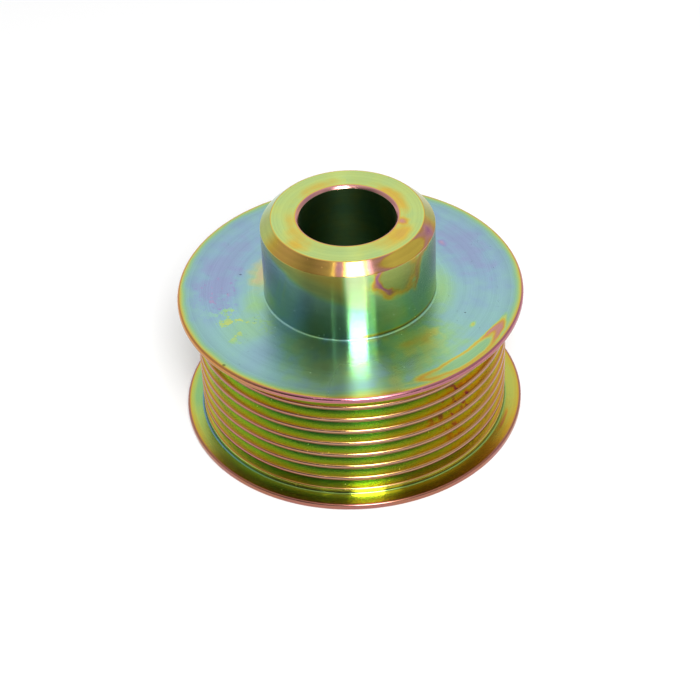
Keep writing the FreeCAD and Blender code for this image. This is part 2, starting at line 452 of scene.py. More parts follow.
def make_film_group():
    tree, given, result = new_group("film_colour", [("Thickness", "Float", 0.5)],
                                    [("Color", "Color")])
    ramp = tree.nodes.new("ShaderNodeValToRGB")
    stops = ramp.color_ramp.elements
    for place, colour in FILM_ORDER[1:-1]:
        stops.new(place).color = colour
    stops[0].color = FILM_ORDER[0][1]
    stops[len(stops) - 1].color = FILM_ORDER[-1][1]
    put(tree, ramp.inputs["Fac"], given["Thickness"])
    put(tree, result["Color"], ramp.outputs["Color"])
    return tree

FILM = make_film_group()
print("group", FILM.name, "with", len(FILM_ORDER), "colours")

# %% [markdown]
# Clouds and flecks
#
# The bath never works evenly. A slow noise makes the film a little thicker here and thinner there.
# The same noise, cut off at a level, leaves ragged islands, like the yellow flecks on the flange.

# %% groups: clouds and flecks
FLECK_EDGE = 0.05                       # how much noise lies between outside a fleck and inside it

def add_noise(tree, position, size, seed, detail, roughness=0.5):
    """A noise whose blobs are about as large as the size given."""
    noise = tree.nodes.new("ShaderNodeTexNoise")
    noise.noise_dimensions = "4D"
    noise.inputs["Detail"].default_value = detail
    noise.inputs["Roughness"].default_value = roughness
    put(tree, noise.inputs["Vector"], position)
    put(tree, noise.inputs["W"], seed)
    put(tree, noise.inputs["Scale"], calc(tree, "DIVIDE", 1.0, size))
    return noise.outputs["Fac"]

def make_cloud_group():
    tree, given, result = new_group("film_clouds", [
        ("Position", "Vector", (0, 0, 0)), ("Size", "Float", 20.0), ("Seed", "Float", 0.0)],
        [("Value", "Float")])
    noise = add_noise(tree, given["Position"], given["Size"], given["Seed"], detail=4.0)
    put(tree, result["Value"], remap(tree, noise, 0.25, 0.75, -1.0, 1.0, smooth=False))
    return tree

def make_fleck_group():
    tree, given, result = new_group("film_flecks", [
        ("Position", "Vector", (0, 0, 0)), ("Size", "Float", 3.0), ("Level", "Float", 0.55),
        ("Seed", "Float", 0.0)], [("Mask", "Float")])
    noise = add_noise(tree, given["Position"], given["Size"], given["Seed"], 6.0, roughness=0.62)
    brim = calc(tree, "ADD", given["Level"], FLECK_EDGE)
    put(tree, result["Mask"], remap(tree, noise, given["Level"], brim))
    return tree

CLOUDS = make_cloud_group()
FLECKS = make_fleck_group()

def clouds(tree, place, size, seed):
    """Slow clouds between -1 and 1, about size mm across."""
    return use(tree, CLOUDS, Position=place["Position"], Size=size, Seed=seed)["Value"]

def flecks(tree, place, size, level, seed):
    """A mask of ragged islands. The higher the level, the fewer there are."""
    return use(tree, FLECKS, Position=place["Position"], Size=size, Level=level, Seed=seed)["Mask"]

print("groups", CLOUDS.name, FLECKS.name)

# %% [markdown]
# Patches and rings
#
# Some marks sit at one place: where a drop dried, or where the part hung in the bath. A patch is an
# oval with a ragged edge on the unrolled surface, whose two directions are the arc length and the
# height or radius. A drop leaves more film round its edge than inside, as coffee does, so the group
# puts out the ring round the patch as well as the patch itself.

# %% group: a dried patch
def make_patch_group():
    tree, given, result = new_group("dried_patch", [
        ("Position", "Vector", (0, 0, 0)), ("Centre", "Vector", (0, 0, 0)),
        ("Stretch", "Vector", (1, 1, 1)), ("Edge", "Float", 1.0), ("Ragged", "Float", 0.3),
        ("Width", "Float", 0.2)], [("Mask", "Float"), ("Ring", "Float")])
    away = vector_calc(tree, "SUBTRACT", given["Position"], given["Centre"])
    share = vector_calc(tree, "LENGTH", vector_calc(tree, "MULTIPLY", away, given["Stretch"]))
    share = calc(tree, "MULTIPLY_ADD", clouds(tree, given, size=4.0, seed=3.7), given["Ragged"], share)
    inner = calc(tree, "SUBTRACT", 1.0, given["Edge"])
    put(tree, result["Mask"], remap(tree, share, inner, 1.0, 1.0, 0.0))
    from_edge = calc(tree, "ABSOLUTE", calc(tree, "SUBTRACT", share, 1.0))
    put(tree, result["Ring"], remap(tree, from_edge, 0.0, given["Width"], 1.0, 0.0))
    return tree

PATCH = make_patch_group()
print("group", PATCH.name)

# %% patches on an unrolled surface
class Unrolled:
    """A surface of the pulley, rolled out flat: arc length one way, height or radius the other."""

    def __init__(self, tree, place, radius, across):
        self.tree = tree
        self.arc = math.radians(radius)         # mm of arc for each degree
        flat = tree.nodes.new("ShaderNodeCombineXYZ")
        put(tree, flat.inputs["X"], calc(tree, "MULTIPLY", place["Angle"], self.arc))
        put(tree, flat.inputs["Y"], place[across])
        self.flat = flat.outputs[0]

    def patch(self, angle, across, wide, deep, **look):
        """A patch centred on an angle. It reaches wide degrees and deep mm from its centre."""
        return use(self.tree, PATCH, Position=self.flat, Centre=(angle * self.arc, across, 0),
                   Stretch=(1 / (wide * self.arc), 1 / deep, 0), **look)

    def with_patches(self, film, patches):
        """The film, drawn towards each patch's own thickness inside the patch."""
        for angle, across, wide, deep, goal in patches:
            film = toward(self.tree, film, self.patch(angle, across, wide, deep)["Mask"], goal)
        return film

print("a surface can be rolled out flat")

# %% [markdown]
# Turning marks
#
# The lathe tool leaves a fine spiral that reads as rings. Noise in one dimension, along the
# section, gives rings of uneven depth. A broad and a fine one together look like a real tool path.
# Dust settles as tiny dots, one in some of the cells of a Voronoi pattern.

# %% groups: turning marks and dust
def make_marks_group():
    tree, given, result = new_group("turning_marks", [
        ("Along", "Float", 0.0), ("Fine", "Float", 2.6), ("Broad", "Float", 0.5)],
        [("Marks", "Float")])
    rings = []
    for pitch, detail in ((given["Fine"], 1.0), (given["Broad"], 3.0)):
        noise = tree.nodes.new("ShaderNodeTexNoise")
        noise.noise_dimensions = "1D"
        noise.inputs["Scale"].default_value = 1.0
        noise.inputs["Detail"].default_value = detail
        put(tree, noise.inputs["W"], calc(tree, "MULTIPLY", given["Along"], pitch))
        rings.append(noise.outputs["Fac"])
    put(tree, result["Marks"], calc(tree, "MULTIPLY", calc(tree, "ADD", *rings), 0.5))
    return tree

def make_dust_group():
    tree, given, result = new_group("dust", [
        ("Position", "Vector", (0, 0, 0)), ("Spacing", "Float", 1.6), ("Share", "Float", 0.35)],
        [("Mask", "Float")])
    cells = tree.nodes.new("ShaderNodeTexVoronoi")
    put(tree, cells.inputs["Vector"], given["Position"])
    put(tree, cells.inputs["Scale"], calc(tree, "DIVIDE", 1.0, given["Spacing"]))
    dot = remap(tree, cells.outputs["Distance"], 0.05, 0.09, 1.0, 0.0)
    lot = tree.nodes.new("ShaderNodeSeparateColor")
    put(tree, lot.inputs[0], cells.outputs["Color"])
    chosen = calc(tree, "LESS_THAN", lot.outputs["Red"], given["Share"])
    put(tree, result["Mask"], product(tree, dot, chosen))
    return tree

MARKS = make_marks_group()
DUST = make_dust_group()
print("groups", MARKS.name, DUST.name)

# %% [markdown]
# One recipe for plated steel
#
# Every surface of the pulley is the same metal with the same film, so one function builds each
# material. It takes the film's thickness, already worked out for that surface, and how smooth the
# turning left it. Steel reflects in its own colour only, so the whole film goes to Base Color of a
# metallic shader. The rings spread each reflection across themselves and keep it sharp along
# them, which the shader's anisotropy does once it is told that the rings run round the Z axis.
#
# Three more values fit the colour to its place. "Depth" is a power: above 1 it makes the colour
# fuller and darker, painted in for light that bounces from wall to wall. "Shade" is painted shade:
# it darkens the colour where the metal shows less of the room's light, as in a crease, and also
# darkens a few real pits and a dried drop. "Fade" draws the colour to a dull tan where the film is
# dull and stained, and it also makes painted highlights and sheen where the metal shows bright light.

# %% the recipe
QUARTER_TURN = 0.25                     # the shader stretches along the rings unless it is turned
FADED = paint(206, 190, 160)
RING_TONE = 0.92                        # how light the darkest ring is
RING_ROUGHNESS = 0.03
CLOUD_ROUGHNESS = 0.02
DUST_ROUGHNESS = 0.6

def start_material(name):
    """A new material with the place on the pulley worked out."""
    material = bpy.data.materials.new(name)
    material.use_nodes = True
    material.node_tree.nodes.clear()
    return material, material.node_tree, use(material.node_tree, PLACE)

def tinted(tree, colour, tone):
    """A colour made darker by a grey tone."""
    node = tree.nodes.new("ShaderNodeMix")
    node.data_type = "RGBA"
    node.blend_type = "MULTIPLY"
    node.inputs["Factor"].default_value = 1.0
    grey = tree.nodes.new("ShaderNodeCombineColor")
    for socket in grey.inputs:
        put(tree, socket, tone)
    put(tree, node.inputs["A"], colour)
    put(tree, node.inputs["B"], grey.outputs[0])
    return node.outputs["Result"]

def faded(tree, colour, mask):
    """A colour that turns to a dull tan where the mask is 1."""
    node = tree.nodes.new("ShaderNodeMix")
    node.data_type = "RGBA"
    put(tree, node.inputs["Factor"], mask)
    put(tree, node.inputs["A"], colour)
    node.inputs["B"].default_value = FADED
    return node.outputs["Result"]

def finish_material(tree, place, thickness, roughness=0.175, anisotropy=1.0, mark_depth=0.002,
                    shade=1.0, fade=0.0, depth=1.0):
    """Film, turning marks, dust and shader, on the thickness given."""
    marks = use(tree, MARKS, Along=place["Along"])["Marks"]
    dust = use(tree, DUST, Position=place["Position"])["Mask"]
    film = faded(tree, use(tree, FILM, Thickness=thickness)["Color"], fade)
    deeper = tree.nodes.new("ShaderNodeGamma")
    put(tree, deeper.inputs["Color"], film)
    deeper.inputs["Gamma"].default_value = depth
    tone = product(tree, remap(tree, marks, 0.35, 0.65, RING_TONE, 1.0, smooth=False), shade)
    cloud = clouds(tree, place, size=6.0, seed=8.0)
    rough = calc(tree, "MULTIPLY_ADD", cloud, CLOUD_ROUGHNESS, roughness)
    rough = calc(tree, "MULTIPLY_ADD", marks, RING_ROUGHNESS, rough)
    rough = toward(tree, rough, dust, DUST_ROUGHNESS)

    bump = tree.nodes.new("ShaderNodeBump")
    bump.inputs["Strength"].default_value = 1.0
    bump.inputs["Distance"].default_value = mark_depth * MM
    put(tree, bump.inputs["Height"], marks)
    tangent = tree.nodes.new("ShaderNodeTangent")
    tangent.direction_type = "RADIAL"
    tangent.axis = "Z"

    steel = tree.nodes.new("ShaderNodeBsdfPrincipled")
    steel.inputs["Metallic"].default_value = 1.0
    steel.inputs["Anisotropic"].default_value = anisotropy
    steel.inputs["Anisotropic Rotation"].default_value = QUARTER_TURN
    put(tree, steel.inputs["Base Color"], tinted(tree, deeper.outputs["Color"], tone))
    put(tree, steel.inputs["Roughness"], rough)
    put(tree, steel.inputs["Normal"], bump.outputs["Normal"])
    put(tree, steel.inputs["Tangent"], tangent.outputs["Tangent"])
    result = tree.nodes.new("ShaderNodeOutputMaterial")
    put(tree, result.inputs["Surface"], steel.outputs["BSDF"])

print("recipe ready")

# %% [markdown]
# The upper flange's face
#
# The broad face is teal, with violet patches where the film is thinnest. It turns green near the
# hub, and in the last millimetres before the rim it runs through yellow and gold, because a bath
# always works fastest on an edge. A drop that dried near the rim left a gold outline, pink at its
# right end. Near the hub on the left lies a dull tan stain, and three small pits are dark. Painted
# shade darkens the last millimetres before the rim a little. Straight in front the face grows
# rougher towards the rim, and painted shade dims it there, so that the reflection of the softbox
# fades before it gets there.
#
# The patches below are listed one by one: each has an angle and a radius, how far it reaches in
# degrees and in millimetres, and the film it leads to.

# %% material: flange face
FLANGE_PATCHES = [                      # angle, radius, reach in degrees, reach in mm, film
    (-110, 31.5, 64, 12.0, 0.20),
    (-92, 31.0, 30, 8.0, 0.18),
    (-106, 21.3, 22, 4.6, YELLOW_GREEN),
    (-76, 22.5, 20, 5.0, GREEN),
    (-60, 28.0, 17, 10.0, 0.42),
    (-40, 31.0, 12, 9.0, 0.27),
    (-28, 23.0, 24, 7.0, 0.50),
    (-12, 29.0, 30, 13.0, 0.49),
    (84, 21.5, 50, 5.5, 0.47),
    (32, 26.0, 34, 14.0, 0.56),
    (39, 26.0, 15, 2.6, 0.64),
    (30, 25.2, 9, 1.8, 0.64),
    (60, 31.8, 3, 0.9, 0.62),
    (116, 31.0, 60, 12.0, 0.19),
    (125, 27.0, 5, 1.4, LILAC),
    (4, 38.0, 16, 2.4, 0.48),
    (14, 36.0, 8, 6.0, 0.53),
]
FLANGE_PITS = [(-47, 39.4, 0.5), (-103, 26.3, 0.35), (66, 28.5, 0.3)]     # angle, radius, size
PIT_SHAPE = 1.7                         # degrees of width for each millimetre of size

def flange_face_material():
    material, tree, place = start_material("plated_flange_face")
    angle = place["Angle"]
    radius = place["Radius"]
    face = Unrolled(tree, place, 33.0, "Radius")
    cloud = clouds(tree, place, size=9.0, seed=1.3)
    film = calc(tree, "MULTIPLY_ADD", cloud, 0.035, TEAL - 0.01)
    film = face.with_patches(film, FLANGE_PATCHES)
    yellow = product(tree, flecks(tree, place, size=3.6, level=0.515, seed=2.6),
                     face.patch(-64, 29.0, wide=24, deep=11.0)["Mask"])
    film = toward(tree, film, yellow, YELLOW_GREEN)
    lilac = product(tree, flecks(tree, place, size=1.4, level=0.57, seed=5.0),
                    face.patch(-87, 31.0, wide=24, deep=8.0)["Mask"])
    film = toward(tree, film, lilac, LILAC + 0.02)
    rim = calc(tree, "POWER", remap(tree, radius, 36.5, 40.1, smooth=False), 3.0)
    film = calc(tree, "MULTIPLY_ADD", rim, 0.5, film)

    dried = face.patch(43, 37.5, wide=20, deep=1.7, Edge=0.3, Ragged=0.15, Width=0.4)
    film = toward(tree, film, dried["Mask"], GREEN)
    film = toward(tree, film, dried["Ring"], GOLD + 0.02)
    right_end = product(tree, dried["Ring"], remap(tree, angle, 52, 60))
    film = toward(tree, film, right_end, PINK)

    # Painted shade: straight in front the face is dimmed towards the rim, where it is also rougher, and
    # near the rim all round it is a little darker.
    in_front = product(tree, between(tree, angle, -12, -4, 10, 18),
                       remap(tree, radius, 23.5, 35.0, smooth=False))
    shade = remap(tree, radius, 35.0, 38.0, 1.0, 0.9)
    shade = toward(tree, shade, in_front, 0.5)
    for pit_angle, pit_radius, size in FLANGE_PITS:
        pit = face.patch(pit_angle, pit_radius, size * PIT_SHAPE, size, Edge=0.5)["Mask"]
        shade = toward(tree, shade, pit, 0.4)
    dull = product(tree, face.patch(-110, 21.2, wide=26, deep=4.6)["Mask"], 0.9)
    finish_material(tree, place, film, shade=shade, fade=dull,
                    roughness=toward(tree, 0.19, in_front, 0.36))
    return material

FLANGE_FACE = flange_face_material()
print(FLANGE_FACE.name)

# %% [markdown]
# The hub's top, bevel and side
#
# The top is yellow-green with gold clouds. The bevel is tan and gold, with a pink ring where a
# drop dried. The side was dipped deeper on the left: gold above a slanting water line, teal and
# blue below it. On the right, drops ran down and left gold and pink outlines.
#
# The side shows the softbox as a streak in front, and its colour carries painted light: a painted
# highlight makes it pale in the streak, painted shade makes it darkest just to the left of it and
# darker towards the right, and a painted sheen makes it greyer towards both sides. A thin line of
# painted shade runs along the foot on the right, where the hub meets the flange.

# %% material: hub top
TOP_PATCHES = [                         # angle, radius, reach in degrees, reach in mm, film
    (-70, 13.2, 44, 2.8, 0.66),
    (-48, 15.6, 20, 3.0, 0.69),
    (46, 13.6, 42, 4.4, 0.67),
    (58, 14.2, 20, 3.0, 0.71),
    (-150, 13.2, 44, 2.6, 0.65),
    (118, 12.8, 50, 2.4, 0.70),
    (76, 12.8, 10, 2.4, PINK),
]
TOP_INNER_EDGE = BORE_RADIUS + BORE_BEVEL
TOP_OUTER_EDGE = HUB_RADIUS - HUB_BEVEL

def hub_top_material():
    material, tree, place = start_material("plated_hub_top")
    face = Unrolled(tree, place, 14.5, "Radius")
    cloud = clouds(tree, place, size=6.0, seed=2.1)
    film = calc(tree, "MULTIPLY_ADD", cloud, 0.03, YELLOW_GREEN - 0.02)
    film = face.with_patches(film, TOP_PATCHES)
    inner = remap(tree, place["Radius"], TOP_INNER_EDGE + 0.6, TOP_INNER_EDGE)
    outer = remap(tree, place["Radius"], TOP_OUTER_EDGE - 0.4, TOP_OUTER_EDGE)
    film = toward(tree, film, inner, COPPER - 0.01)
    film = toward(tree, film, outer, COPPER - 0.03)
    finish_material(tree, place, film)
    return material

HUB_TOP = hub_top_material()
print(HUB_TOP.name)

# %% material: hub bevel
SLOPE_RADIUS = HUB_RADIUS - HUB_BEVEL / 2           # halfway up the bevel
SLOPE_HEIGHT = TOTAL_HEIGHT - HUB_BEVEL / 2
BEVEL_STEPS = [(-56, -80, 0.57), (-92, -112, 0.48), (80, 90, 0.61)]     # from, to, film
BEVEL_PATCHES = [                       # angle, height, reach in degrees, reach in mm, film
    (74, SLOPE_HEIGHT, 9, 3.0, 0.93),
    (14, SLOPE_HEIGHT, 4, 3.0, PINK),
    (-7, SLOPE_HEIGHT, 4, 3.0, PINK),
]

def hub_bevel_material():
    material, tree, place = start_material("plated_hub_bevel")
    slope = Unrolled(tree, place, SLOPE_RADIUS, "Height")
    cloud = clouds(tree, place, size=7.0, seed=4.4)
    film = calc(tree, "MULTIPLY_ADD", cloud, 0.04, 0.73)
    film = by_angle(tree, place, film, BEVEL_STEPS)
    film = toward(tree, film, place["Back"], calc(tree, "MULTIPLY_ADD", cloud, 0.04, 0.58))
    drop = slope.patch(42, SLOPE_HEIGHT, wide=26, deep=1.5, Edge=0.3, Ragged=0.1, Width=0.3)
    film = toward(tree, film, drop["Mask"], GOLD - 0.01)
    film = toward(tree, film, drop["Ring"], PINK - 0.02)
    film = slope.with_patches(film, BEVEL_PATCHES)
    # Painted shade: the bevel is darker towards the right, the left and the back.
    shade = remap(tree, place["Angle"], 58, 84, 1.0, 0.68)
    shade = by_angle(tree, place, shade, [(-62, -84, 0.75)])
    shade = toward(tree, shade, place["Back"], 0.72)
    finish_material(tree, place, film, roughness=0.17, anisotropy=0.7, shade=shade)
    return material

HUB_BEVEL_MATERIAL = hub_bevel_material()
print(HUB_BEVEL_MATERIAL.name)

# %% the hub side's film
WATER_LINE = 43.2                       # mm up, straight in front
WATER_SLOPE = -0.115                    # mm for each degree to the right
SIDE_PATCHES = [                        # angle, height, reach in degrees, reach in mm, film
    (-80, 49.0, 20, 4.0, 0.50),
    (-60, 43.5, 18, 5.0, 0.39),
    (-62, 35.5, 26, 4.0, 0.39),
    (-79, 43.5, 8, 4.0, 0.05),
]

def hub_side_film(tree, place, cloud, above, drop, wall):
    """The film on the hub's side: two sorts on the left, plain in front, runs on the right."""
    angle = place["Angle"]
    over_the_line = remap(tree, above, -1.6, 1.0)
    film = remap(tree, angle, -48, -12, 0.32, 0.38)
    film = calc(tree, "MULTIPLY_ADD", cloud, 0.03, film)
    film = toward(tree, film, over_the_line, 0.55)
    gold_share = product(tree, remap(tree, above, 1.0, 5.5), remap(tree, angle, 2, -8))
    film = toward(tree, film, gold_share, GOLD - 0.04)
    film = wall.with_patches(film, SIDE_PATCHES)
    streak_film = toward(tree, 0.40, over_the_line, 0.47)
    film = by_angle(tree, place, film, [(-6, -2, streak_film), (9, 15, 0.47)])
    film = wall.with_patches(film, [(28, 38.0, 18, 8.0, 0.42)])
    film = by_angle(tree, place, film, [(-86, -112, GREEN)])

    film = toward(tree, film, drop["Mask"], YELLOW_GREEN)
    film = toward(tree, film, drop["Ring"], GOLD + 0.02)
    thin = wall.patch(31, 49.2, wide=15.0, deep=4.2, Ragged=0.3, Width=0.22)["Ring"]
    pink_side = product(tree, thin, remap(tree, angle, 36, 22))
    film = toward(tree, film, pink_side, MAGENTA)
    run = wall.patch(72, 44.0, wide=24, deep=8.6, Ragged=0.18, Width=0.16)["Ring"]
    left_arc = product(tree, run, remap(tree, angle, 84, 60),
                       remap(tree, place["Height"], 41.0, 44.0))
    film = toward(tree, film, left_arc, COPPER - 0.03)
    root = product(tree, remap(tree, place["Height"], 35.0, 34.0),
                   between(tree, angle, 2, 10, 66, 78))
    return toward(tree, film, root, GOLD + 0.02)

print("film on the side: water line at", WATER_LINE, "mm")

# %% material: hub side
def hub_side_shade(tree, place, above, drop, sides):
    """How much of the room's light the hub's side shows, as painted shade, with a dried drop a little
    darker.
    """
    angle = place["Angle"]
    upper = product(tree, remap(tree, above, -1.0, 2.0), remap(tree, angle, -3, -7))
    shade = toward(tree, remap(tree, angle, 14, 70, 0.85, 0.72), upper, 0.55)
    shade = toward(tree, shade, between(tree, angle, -3, -1.5, 10, 12), 1.0)
    shade = toward(tree, shade, drop["Mask"], 0.58)
    # Painted shade: a thin dark line along the foot on the right, where the hub meets the flange.
    crease = product(tree, remap(tree, place["Height"], 34.3, 34.0),
                     between(tree, angle, 12, 26, 80, 100))
    shade = toward(tree, shade, crease, 0.3)
    shade = toward(tree, shade, place["Back"], 0.78)
    for mask, level in ((between(tree, angle, -84, -74, -44, -30), 0.84),
                        (between(tree, angle, -44, -26, -4.5, -2.5), 0.6), (sides, 0.88)):
        shade = product(tree, shade, toward(tree, 1.0, mask, level))
    return shade

def hub_side_material():
    material, tree, place = start_material("plated_hub_side")
    angle = place["Angle"]
    wall = Unrolled(tree, place, HUB_RADIUS, "Height")
    cloud = clouds(tree, place, size=8.0, seed=6.2)
    water_line = calc(tree, "MULTIPLY_ADD", angle, WATER_SLOPE, WATER_LINE)
    wavy_height = calc(tree, "MULTIPLY_ADD", cloud, 0.6, place["Height"])
    above = calc(tree, "SUBTRACT", wavy_height, water_line)
    drop = wall.patch(32, 48.8, wide=16.5, deep=5.0, Edge=0.25, Ragged=0.25, Width=0.36)
    # Painted sheen: towards both sides the colour is drawn greyer and a little darker.
    sides = remap(tree, calc(tree, "ABSOLUTE", angle), 57, 80)
    # Painted highlight: above the water line the colour is drawn pale in the softbox's streak.
    streak_highlight = product(tree, remap(tree, above, -1.6, 1.0),
                   between(tree, angle, -4, -1.5, 10, 14), 0.55)
    fade = calc(tree, "MAXIMUM", streak_highlight, product(tree, sides, 0.4))
    finish_material(tree, place, hub_side_film(tree, place, cloud, above, drop, wall),
                    shade=hub_side_shade(tree, place, above, drop, sides), fade=fade)
    return material

HUB_SIDE = hub_side_material()
print(HUB_SIDE.name)

# %% [markdown]
# The rims and rib tips
#
# Edges have the thickest film of all, so the rims and the rib tips are copper and pink. The upper
# rim has a gold line along its foot, and every rib has a gold shoulder. Painted shade darkens the
# rims and ribs, least on the shoulders and on the upper rim's rounding, and most on the lower half
# of each rib's tip, which faces the dark groove below it. In front the tips are a little paler, a
# painted highlight.

# %% material: rims and rib tips
RIB_SHOULDER = 0.85                     # how far up its flat a rib's shoulder starts
UPPER_ROUND_LOW = UPPER_FACE - 0.8      # where the upper rim's rounding starts

def edge_material():
    material, tree, place = start_material("plated_edges")
    angle = place["Angle"]
    height = place["Height"]
    on_a_rib = remap(tree, place["Radius"], RIB_RADIUS + 0.3, RIB_RADIUS + 0.1)
    rib = calc(tree, "DIVIDE", calc(tree, "SUBTRACT", height, FIRST_GROOVE), GROOVE_PITCH)
    across = calc(tree, "FRACT", calc(tree, "ADD", rib, 0.5))
    up_the_land = remap(tree, across, 0.5 - RIB_LAND / GROOVE_PITCH, 0.5, smooth=False)
    shoulder = product(tree, on_a_rib, remap(tree, up_the_land, RIB_SHOULDER, 1.0))

    rib_film = remap(tree, up_the_land, 0.62, 0.78, 0.80, 0.885)
    film = calc(tree, "MULTIPLY_ADD", clouds(tree, place, size=9.0, seed=7.7), 0.03,
                toward(tree, PINK - 0.02, on_a_rib, rib_film))
    film = toward(tree, film, shoulder, COPPER - 0.03)
    upper_rim = remap(tree, height, UPPER_RIM_LOW - 0.2, UPPER_RIM_LOW)
    upper_film = toward(tree, COPPER + 0.01, between(tree, angle, -50, -10, 80, 110), PINK + 0.03)
    low_line = remap(tree, height, UPPER_RIM_LOW + 0.4, UPPER_RIM_LOW + 0.1)
    film = toward(tree, film, upper_rim, toward(tree, upper_film, low_line, GOLD))

    # Painted shade on the rims and ribs, least on the shoulders and the upper rim's rounding, most on
    # the lower half of each tip.
    far_round = remap(tree, calc(tree, "ABSOLUTE", angle), 50, 72)
    lower_half = product(tree, remap(tree, up_the_land, 0.62, 0.42), on_a_rib)
    shade = toward(tree, 0.66, on_a_rib, toward(tree, 0.78, far_round, 0.7))
    shade = toward(tree, shade, shoulder, 0.95)
    shade = toward(tree, shade, remap(tree, height, UPPER_ROUND_LOW, UPPER_ROUND_LOW + 0.3), 1.0)
    shade = toward(tree, shade, lower_half, 0.28)
    # Painted highlight: in front, where the softbox lights the ribs, their tips are drawn paler.
    paler_in_front = product(tree, on_a_rib, between(tree, angle, -40, -5, 45, 70), 0.35)
    finish_material(tree, place, film, roughness=0.19, anisotropy=0.5, mark_depth=0.001,
                    shade=shade, fade=paler_in_front, depth=1.2)
    return material

EDGES = edge_material()
print(EDGES.name)

# %% [markdown]
# The grooves
#
# Light that enters a groove bounces from side to side and takes on more of the film's colour each
# time, so the grooves look deep green and gold, and the colour is painted fuller and darker for it.
# The film grows from root to tip and ends in a pink lip. The right side, which hung lower in the
# bath, is more golden and has a few dark runs. Painted shade makes the grooves a little darker in
# front than towards the left and right.

# %% material: grooves
def groove_material():
    material, tree, place = start_material("plated_grooves")
    angle = place["Angle"]
    radius = place["Radius"]
    wall = Unrolled(tree, place, RIB_RADIUS, "Height")
    right_side = between(tree, angle, 0, 35, 100, 150)
    root_film = toward(tree, 0.47, right_side, 0.56)
    tip_film = toward(tree, 0.61, right_side, 0.635)
    film = remap(tree, radius, ROOT_RADIUS + 0.3, RIB_RADIUS - 0.8, root_film, tip_film)
    ends = calc(tree, "MAXIMUM", remap(tree, angle, -28, -55), remap(tree, angle, 38, 60))
    pink_lip = remap(tree, radius, RIB_RADIUS - 0.9, RIB_RADIUS - 0.1)
    film = calc(tree, "ADD", film, product(tree, pink_lip, toward(tree, 0.10, ends, 0.12)))
    film = calc(tree, "MULTIPLY_ADD", clouds(tree, place, size=7.0, seed=9.1), 0.03, film)
    leaning = remap(tree, angle, -60, 60, -0.03, 0.0)
    film = calc(tree, "ADD", film, toward(tree, leaning, place["Back"], -0.015))
    top_groove = remap(tree, place["Height"], LAST_GROOVE_END - 2.4, LAST_GROOVE_END - 1.6, 0.0, -0.10)
    film = calc(tree, "ADD", film, top_groove)
    runs = product(tree, flecks(tree, place, size=1.9, level=0.555, seed=1.5),
                   wall.patch(40, 20.0, wide=18, deep=14.0)["Mask"])
    film = toward(tree, film, runs, MAGENTA + 0.04)
    # Painted shade: the colour is made fuller and darker, and darker in front than towards the left and
    # right.
    finish_material(tree, place, film, roughness=0.2, anisotropy=0.6, depth=1.35,
                    shade=toward(tree, 0.9, ends, 1.0))
    return material

GROOVES = groove_material()
print(GROOVES.name)

# %% [markdown]
# The lower flange
#
# Its face is green at the far left and gold from the front to the right, and the film thickens
# towards copper at the rim. At the foot of the ribs the film is thinner and painted shade darkens
# it, and a thin line of painted shade, for a crevice, lies under a strip of plain wall. In front the
# outer part is darkened by painted shade, and on the right lies one short copper run.

# %% material: lower flange
LOWER_STEPS = [(0, 25, 0.665), (55, 88, 0.60)]                          # from, to, film

def lower_flange_material():
    material, tree, place = start_material("plated_lower_flange")
    angle = place["Angle"]
    radius = place["Radius"]
    height = place["Height"]
    face = Unrolled(tree, place, 38.0, "Radius")
    film = remap(tree, angle, -100, -65, GREEN, YELLOW_GREEN + 0.01)
    film = by_angle(tree, place, film, LOWER_STEPS)
    film = toward(tree, film, place["Back"], 0.53)
    film = calc(tree, "MULTIPLY_ADD", clouds(tree, place, size=8.0, seed=5.3), 0.03, film)
    more = by_angle(tree, place, 0.03, [(-50, -90, 0.10)])
    film = calc(tree, "ADD", film, product(tree, remap(tree, radius, 38.0, 39.3), more))
    foot = remap(tree, radius, RIB_RADIUS + 0.6, RIB_RADIUS + 0.2)
    foot_film = toward(tree, remap(tree, angle, -88, -20, 0.20, 0.53), place["Back"], 0.42)
    film = toward(tree, film, foot, foot_film)
    film = face.with_patches(film, [(70, 37.5, 8, 0.5, COPPER + 0.03)])
    wall = remap(tree, height, LOWER_FACE + 0.35, LOWER_FACE + 0.5)
    wall_film = toward(tree, remap(tree, angle, -80, -20, 0.49, 0.62), place["Back"], 0.55)
    film = toward(tree, film, wall, wall_film)
    rim = remap(tree, radius, RIM_RADIUS - 1.0, RIM_RADIUS - 0.3)
    film = toward(tree, film, rim, COPPER - 0.02)

    # Painted shade: darker at the foot of the ribs and on the outer part in front, darker still in a
    # thin line at the crevice.
    outer = product(tree, between(tree, angle, -70, -40, 30, 60), remap(tree, radius, 37.4, 38.6))
    shade = toward(tree, toward(tree, 0.94, foot, 0.75), outer, 0.56)
    from_crevice = calc(tree, "ABSOLUTE", calc(tree, "SUBTRACT", height, LOWER_FACE + 0.3))
    shade = toward(tree, shade, wall, 1.0)
    shade = toward(tree, shade, remap(tree, from_crevice, 0.2, 0.05), 0.25)
    finish_material(tree, place, film, shade=shade, depth=1.25)
    return material

LOWER_FLANGE = lower_flange_material()
print(LOWER_FLANGE.name)

# %% [markdown]
# The bore and the underside
#
# Inside the bore the finish is rougher, and painted shade makes its colour dark, as in a recess. Its
# edge is pink, as every edge is. The underside can't be seen in the reference view, and gets the same
# clouds.

# %% materials: bore, bore edge and underside
def bore_material():
    material, tree, place = start_material("plated_bore")
    film = calc(tree, "MULTIPLY_ADD", clouds(tree, place, size=5.0, seed=3.3), 0.06, 0.49)
    # Painted shade: the bore's colour is darkened, as in a recess.
    finish_material(tree, place, film, roughness=0.3, anisotropy=0.6, mark_depth=0.004, shade=0.46,
                    depth=1.2)
    return material

